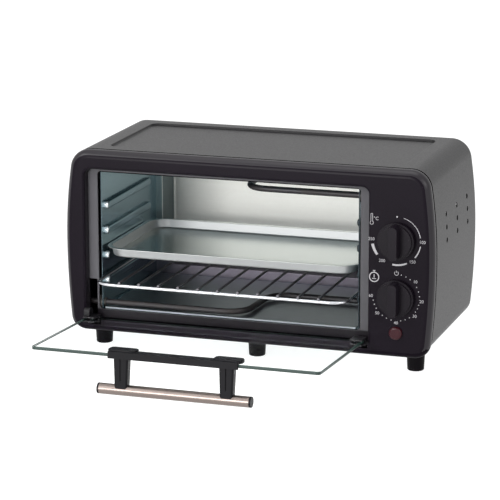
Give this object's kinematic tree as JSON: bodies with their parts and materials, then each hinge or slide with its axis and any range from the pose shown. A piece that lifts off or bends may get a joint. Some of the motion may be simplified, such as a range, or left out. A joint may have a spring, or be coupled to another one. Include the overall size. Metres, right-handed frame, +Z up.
{
  "type": "toaster oven",
  "caption": "Compact countertop toaster oven with a drop-down glass door, bar handle, temperature and timer dials, wire rack and baking tray.",
  "frame": {"origin": "on the counter, under the middle of the oven and its open door", "axes": "+X to the right along the front, +Y to the back, +Z up"},
  "size_m": [0.37, 0.3458, 0.201],
  "materials": {
    "bezel_plastic": "fine satin moulding",
    "wrap_paint": "satin grey-black paint",
    "zinc_sheet": "galvanised sheet",
    "rear_sheet": "aluminised pressed sheet",
    "pan_sheet": "galvanised sheet",
    "zinc_fastener": "zinc plated",
    "foot_plastic": "satin moulding",
    "door_glass": "clear toughened glass",
    "hinge_steel": "black finished steel",
    "lever_plastic": "satin moulding",
    "handle_plastic": "satin moulding",
    "steel_tube": "brushed along its length",
    "element_sheath": "dark heat-coloured sheath",
    "ceramic_bush": "unglazed",
    "tab_steel": "nickel plated",
    "rack_wire": "bright plated wire",
    "tray_aluminium": "satin rolled sheet",
    "knob_plastic": "satin moulding",
    "shaft_steel": "turned",
    "control_case": "moulded thermoset",
    "lamp_red": "clear red",
    "gland_rubber": "moulded",
    "lead_sleeve": "braided glass sleeve"
  },
  "bodies": {
    "housing": {"front_bezel": "bezel_plastic", "recess_plate": "wrap_paint", "front_frame": "zinc_sheet", "frame_screws": "zinc_fastener", "outer_wrap": "wrap_paint", "base_plate": "zinc_sheet", "rear_panel": "rear_sheet", "panel_screws": "zinc_fastener", "cord_gland": "gland_rubber", "terminal_block": "control_case", "liner_left": "zinc_sheet", "liner_right": "zinc_sheet", "liner_floor": "zinc_sheet", "liner_roof": "zinc_sheet", "liner_back": "rear_sheet", "lower_element": "element_sheath", "upper_element": "element_sheath", "lower_element_bushes": "ceramic_bush", "upper_element_bushes": "ceramic_bush", "element_tabs": "tab_steel", "thermostat_body": "control_case", "timer_body": "control_case", "timer_bell": "tab_steel", "control_screws": "zinc_fastener", "lamp_lens": "lamp_red", "lamp_holder": "control_case", "inner_leads": "lead_sleeve", "foot_front_left": "foot_plastic", "foot_front_middle": "foot_plastic", "foot_front_right": "foot_plastic", "foot_rear_left": "foot_plastic", "foot_rear_middle": "foot_plastic", "foot_rear_right": "foot_plastic", "foot_screws": "zinc_fastener", "foot_nuts": "zinc_fastener"},
    "door": {"door_glass": "door_glass", "hinge_clip_left": "hinge_steel", "hinge_clip_right": "hinge_steel", "hinge_pins": "hinge_steel", "clip_screws": "zinc_fastener", "door_lever": "lever_plastic", "handle_base": "handle_plastic", "handle_post_left": "handle_plastic", "handle_post_right": "handle_plastic", "post_screws": "zinc_fastener", "handle_bar": "steel_tube", "bar_caps": "handle_plastic"},
    "temperature_control": {"temperature_knob": "knob_plastic", "temperature_shaft": "shaft_steel"},
    "timer_control": {"timer_knob": "knob_plastic", "timer_shaft": "shaft_steel"},
    "rack": {"rack_frame": "rack_wire", "rack_bars": "rack_wire"},
    "tray": {"baking_tray": "tray_aluminium"},
    "crumb_pan": {"crumb_tray": "pan_sheet"}
  },
  "joints": [
    {"name": "door_hinge", "type": "hinge", "parent": "housing", "child": "door", "pos_m": [-0.02135, -0.02261, 0.0315], "axis": [1, 0, 0], "range_deg": [-86.86, 0]},
    {"name": "temperature_turn", "type": "hinge", "parent": "housing", "child": "temperature_control", "pos_m": [0.149, -0.02561, 0.134], "axis": [0, 1, 0], "range_deg": [0, 270]},
    {"name": "timer_turn", "type": "hinge", "parent": "housing", "child": "timer_control", "pos_m": [0.149, -0.02561, 0.0792], "axis": [0, 1, 0], "range_deg": [0, 270]},
    {"name": "rack_slide", "type": "slide", "parent": "housing", "child": "rack", "axis": [0, 1, 0], "range_m": [0, 0.0289]},
    {"name": "tray_slide", "type": "slide", "parent": "housing", "child": "tray", "axis": [0, -1, 0], "range_m": [0, 0.1]},
    {"name": "crumb_tray_slide", "type": "slide", "parent": "housing", "child": "crumb_pan", "axis": [0, -1, 0], "range_m": [0, 0.085]}
  ],
  "couplings": [
    {"joint": "rack_slide", "follows": "door_hinge", "m_per_rad": -0.019063}
  ]
}
